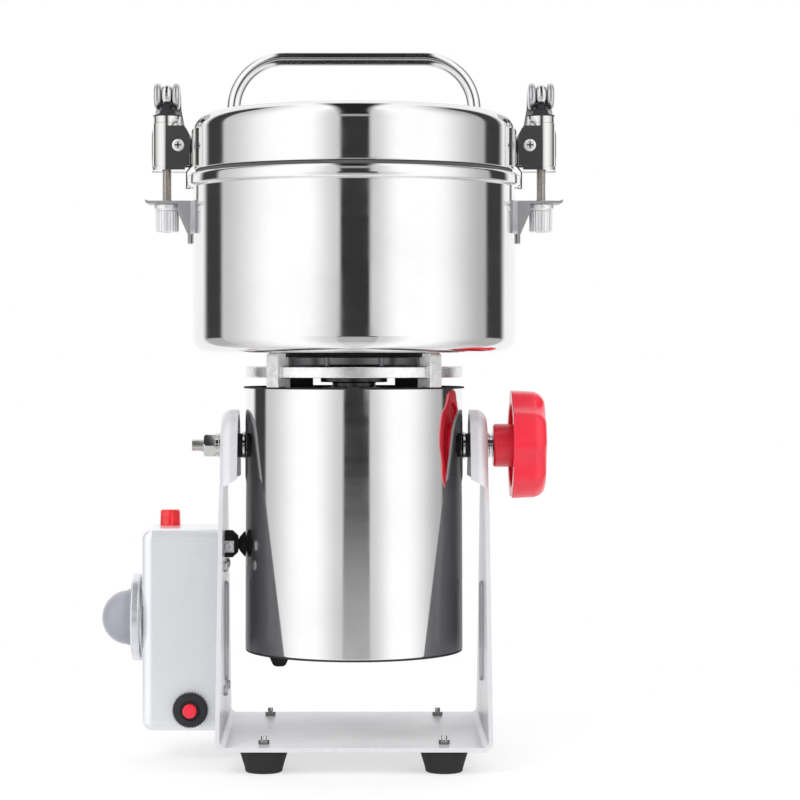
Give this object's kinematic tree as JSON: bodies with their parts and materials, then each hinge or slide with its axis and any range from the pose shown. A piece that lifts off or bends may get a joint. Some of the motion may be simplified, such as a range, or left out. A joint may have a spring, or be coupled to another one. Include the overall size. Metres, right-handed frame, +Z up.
{
  "type": "electric grain mill",
  "caption": "Bench-top electric swing mill: polished steel bowl and clamped lid on a motor that tilts in a U-shaped bracket, with a timer box on one arm.",
  "frame": {"origin": "on the bench plane that the rubber feet stand on, straight below the motor's axis and the tilt axis", "axes": "+Z up along the motor's axis; +X along the tilt axis towards the hand wheel; -Y is the front, where the reset button faces"},
  "size_m": [0.2756, 0.1992, 0.4219],
  "materials": {
    "polished_stainless": "polished stainless steel with a faint drawn grain",
    "plated_steel": "bright nickel plated steel",
    "blade_steel": "ground stainless steel",
    "grey_enamel": "glossy silver grey stove enamel",
    "box_steel": "satin stainless sheet",
    "black_rubber": "moulded, satin",
    "black_plastic": "moulded, fine texture",
    "knob_plastic": "moulded, semi gloss",
    "red_plastic": "glossy moulded",
    "red_lens": "clear red acrylic with faceted side",
    "cast_aluminium": "as cast, machined faces",
    "dark_casting": "cast, dark coated",
    "silicone": "soft food-safe silicone",
    "iron_laminations": "varnished electrical steel sheets",
    "copper": "enamelled copper",
    "carbon": "pressed carbon"
  },
  "bodies": {
    "base": {"bracket": "grey_enamel", "feet": "black_rubber", "foot_bolts": "plated_steel", "control_box": "box_steel", "control_box_back": "box_steel", "panel_screws": "plated_steel", "timer_body": "black_plastic", "dial_plate": "knob_plastic", "pilot_lamp": "red_lens", "overload_switch": "black_plastic", "overload_nut": "black_plastic", "inlet_bush": "black_rubber", "arm_gland": "black_rubber"},
    "mill": {"motor_shell": "polished_stainless", "shell_trim": "black_rubber", "bottom_cap": "black_plastic", "motor_bushes": "black_rubber", "motor_cable": "black_rubber", "pivot_studs": "plated_steel", "pivot_sleeves": "black_plastic", "pivot_washers": "plated_steel", "pivot_nut": "plated_steel", "stator_core": "iron_laminations", "field_coils": "copper", "brush_holders": "black_plastic", "carbon_brushes": "carbon", "ball_bearings": "plated_steel", "end_bell": "cast_aluminium", "bearing_housing": "dark_casting", "neck_gasket": "black_rubber", "shaft_seal": "silicone", "bowl": "polished_stainless", "lid_seal": "silicone", "lid": "polished_stainless", "handle": "polished_stainless", "lid_brackets": "polished_stainless", "bowl_brackets": "polished_stainless", "hinge_screws": "plated_steel"},
    "rotor": {"motor_shaft": "plated_steel", "armature_core": "iron_laminations", "armature_windings": "copper", "commutator": "copper", "cooling_fan": "black_plastic", "lower_blade": "blade_steel", "upper_blade": "blade_steel", "blade_spacers": "plated_steel", "blade_nut": "plated_steel"},
    "hand_wheel": {"hand_wheel": "red_plastic"},
    "timer_knob": {"timer_knob": "knob_plastic"},
    "reset_button": {"reset_button": "red_plastic"},
    "latch_block_right": {"latch_block_right": "plated_steel", "latch_dome_right": "black_plastic"},
    "latch_rod_right": {"latch_rod_right": "plated_steel"},
    "latch_lever_right": {"latch_lever_right": "plated_steel"},
    "thumb_nut_right": {"thumb_nut_right": "plated_steel"},
    "latch_block_left": {"latch_block_left": "plated_steel", "latch_dome_left": "black_plastic"},
    "latch_rod_left": {"latch_rod_left": "plated_steel"},
    "latch_lever_left": {"latch_lever_left": "plated_steel"},
    "thumb_nut_left": {"thumb_nut_left": "plated_steel"}
  },
  "joints": [
    {"name": "mill_tilt", "type": "hinge", "parent": "base", "child": "mill", "pos_m": [0, 0, 0.186], "axis": [1, 0, 0], "range_deg": [-95, 95], "deforming": ["motor_cable"]},
    {"name": "blade_spin", "type": "hinge", "parent": "mill", "child": "rotor", "pos_m": [0, 0, 0.2], "axis": [0, 0, 1], "continuous": true},
    {"name": "wheel_turn", "type": "hinge", "parent": "mill", "child": "hand_wheel", "pos_m": [0.1, 0, 0.186], "axis": [1, 0, 0], "continuous": true},
    {"name": "timer_turn", "type": "hinge", "parent": "base", "child": "timer_knob", "pos_m": [-0.14, 0, 0.0829], "axis": [1, 0, 0], "range_deg": [0, 300]},
    {"name": "reset_press", "type": "slide", "parent": "base", "child": "reset_button", "axis": [0, 1, 0], "range_m": [0, 0.0025], "stiffness_N_per_m": 400},
    {"name": "latch_swing_right", "type": "hinge", "parent": "mill", "child": "latch_block_right", "pos_m": [0.1049, 0, 0.3654], "axis": [0, -1, 0], "range_deg": [0, 28]},
    {"name": "rod_drop_right", "type": "slide", "parent": "latch_block_right", "child": "latch_rod_right", "axis": [0, 0, -1], "range_m": [0, 0.00165]},
    {"name": "lever_lift_right", "type": "hinge", "parent": "latch_rod_right", "child": "latch_lever_right", "pos_m": [0.1122, 0, 0.3959], "axis": [1, 0, 0], "range_deg": [0, 150]},
    {"name": "nut_run_right", "type": "slide", "parent": "latch_rod_right", "child": "thumb_nut_right", "axis": [0, 0, -1], "range_m": [0, 0.0093]},
    {"name": "latch_swing_left", "type": "hinge", "parent": "mill", "child": "latch_block_left", "pos_m": [-0.1049, 0, 0.3654], "axis": [0, 1, 0], "range_deg": [0, 28]},
    {"name": "rod_drop_left", "type": "slide", "parent": "latch_block_left", "child": "latch_rod_left", "axis": [0, 0, -1], "range_m": [0, 0.00165]},
    {"name": "lever_lift_left", "type": "hinge", "parent": "latch_rod_left", "child": "latch_lever_left", "pos_m": [-0.1122, 0, 0.3959], "axis": [1, 0, 0], "range_deg": [0, 150]},
    {"name": "nut_run_left", "type": "slide", "parent": "latch_rod_left", "child": "thumb_nut_left", "axis": [0, 0, -1], "range_m": [0, 0.0093]}
  ],
  "couplings": [
    {"joint": "rod_drop_right", "follows": "lever_lift_right", "m_per_rad": 0.00063},
    {"joint": "nut_run_right", "follows": "latch_swing_right", "m_per_rad": 0.019},
    {"joint": "rod_drop_left", "follows": "lever_lift_left", "m_per_rad": 0.00063},
    {"joint": "nut_run_left", "follows": "latch_swing_left", "m_per_rad": 0.019}
  ]
}
